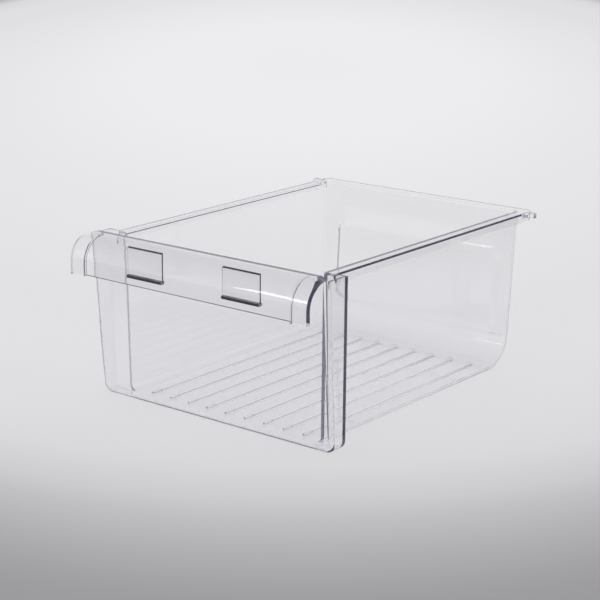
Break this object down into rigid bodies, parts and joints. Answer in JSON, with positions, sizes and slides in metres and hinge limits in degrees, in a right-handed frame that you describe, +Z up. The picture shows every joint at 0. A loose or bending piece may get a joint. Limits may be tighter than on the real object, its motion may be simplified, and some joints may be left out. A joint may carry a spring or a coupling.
{
  "type": "fridge crisper drawer",
  "caption": "Clear moulded crisper drawer for a refrigerator: open tub with a wide front panel, curled finger lip, flanged rim with rear ears and a ribbed floor.",
  "frame": {"origin": "on the ground, under the middle of the drawer's overall box", "axes": "+X to the drawer's right seen from its front, +Y from the front panel to the back, +Z up"},
  "size_m": [0.324, 0.4266, 0.1845],
  "materials": {
    "clear_plastic": "clear gloss"
  },
  "bodies": {
    "root": {"crisper_drawer": "clear_plastic"}
  },
  "joints": []
}
